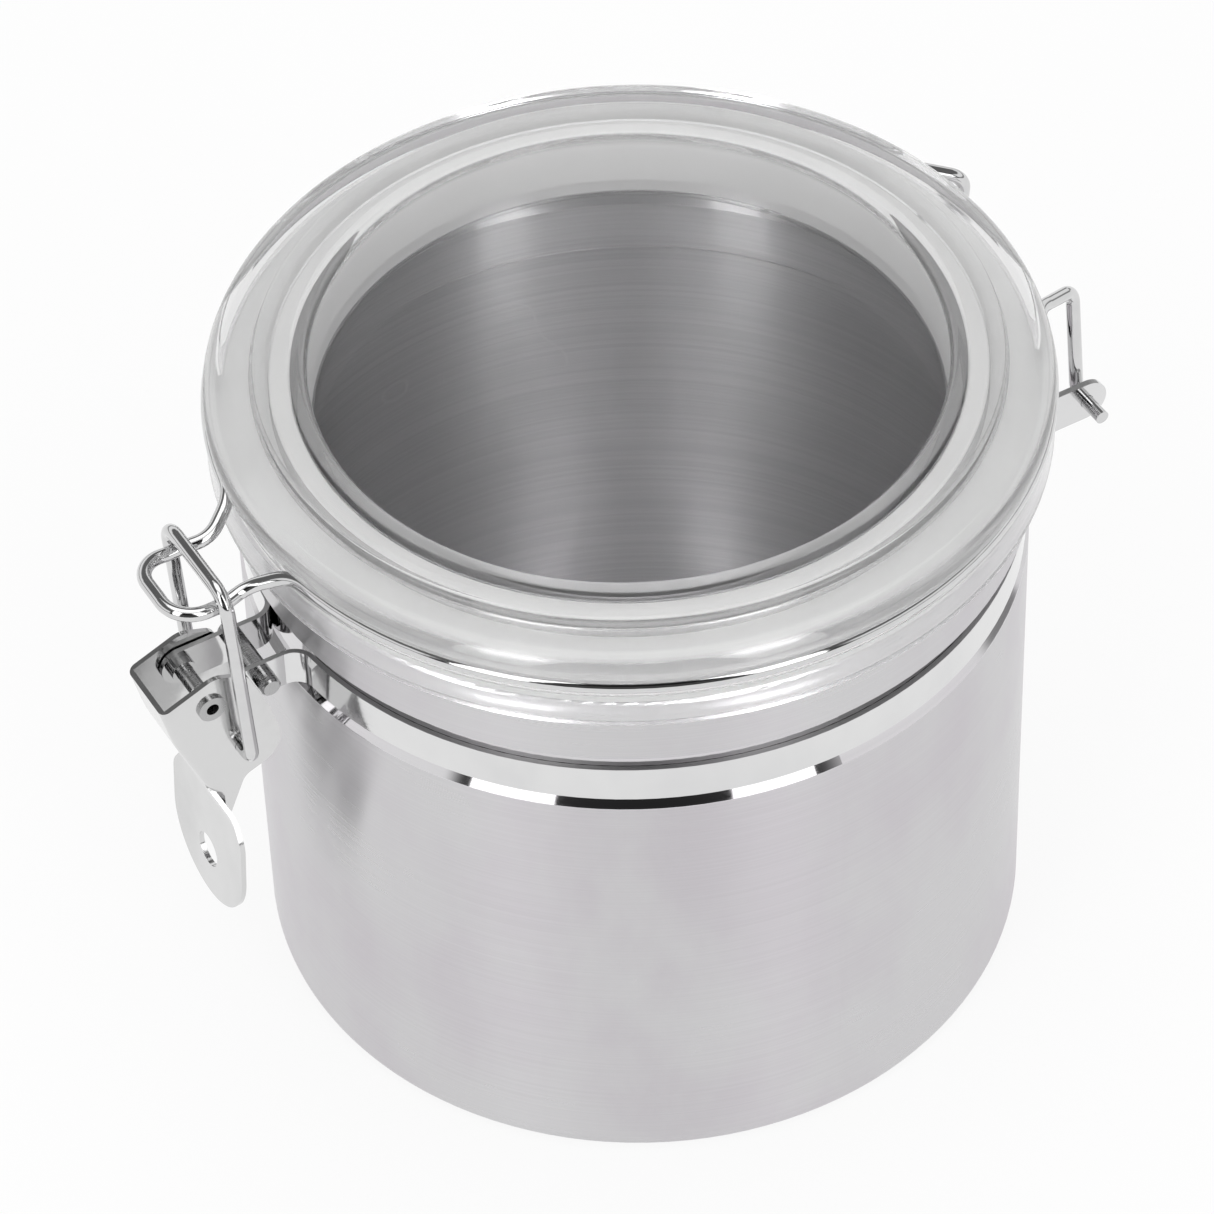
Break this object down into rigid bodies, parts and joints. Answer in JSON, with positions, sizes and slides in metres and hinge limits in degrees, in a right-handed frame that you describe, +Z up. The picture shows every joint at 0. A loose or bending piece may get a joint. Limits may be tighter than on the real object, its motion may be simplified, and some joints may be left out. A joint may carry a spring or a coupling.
{
  "type": "food canister",
  "caption": "Drawn stainless-steel food canister with a clear hinged lid held by a wire, a silicone seal and a wire-and-lever toggle latch",
  "frame": {"origin": "centre of the drum's base, on the underside", "axes": "+Z up, the latch at -Y, the hinge at +Y, every pivot along X"},
  "size_m": [0.1272, 0.1553, 0.1135],
  "materials": {
    "brushed_drum": "brushed round the axis",
    "polished_band": "polished strip",
    "plain_pin": "plain drawn steel",
    "clear_acrylic": "clear moulded acrylic",
    "pale_silicone": "translucent silicone",
    "chromed_wire": "bright wire",
    "pressed_steel": "pressed and polished sheet"
  },
  "bodies": {
    "canister": {"canister_body": "brushed_drum", "neck_band": "polished_band", "band_tie_pin": "plain_pin", "hinge_bracket": "polished_band"},
    "lid_assembly": {"lid": "clear_acrylic", "lid_gasket": "pale_silicone", "lid_wire": "chromed_wire"},
    "lever_assembly": {"latch_lever": "pressed_steel", "lever_rivet": "plain_pin"},
    "bail": {"latch_bail": "chromed_wire"}
  },
  "joints": [
    {"name": "lid_hinge", "type": "hinge", "parent": "canister", "child": "lid_assembly", "pos_m": [0, 0.0689, 0.0842], "axis": [-1, 0, 0], "range_deg": [0, 110]},
    {"name": "lever_pivot", "type": "hinge", "parent": "canister", "child": "lever_assembly", "pos_m": [0, -0.07505, 0.0833], "axis": [-1, 0, 0], "range_deg": [0, 115]},
    {"name": "bail_pivot", "type": "hinge", "parent": "lever_assembly", "child": "bail", "pos_m": [0, -0.0708, 0.07275], "axis": [-1, 0, 0], "range_deg": [-105.8, 0]}
  ],
  "couplings": [
    {"joint": "bail_pivot", "follows": "lever_pivot", "ratio": -0.92}
  ]
}
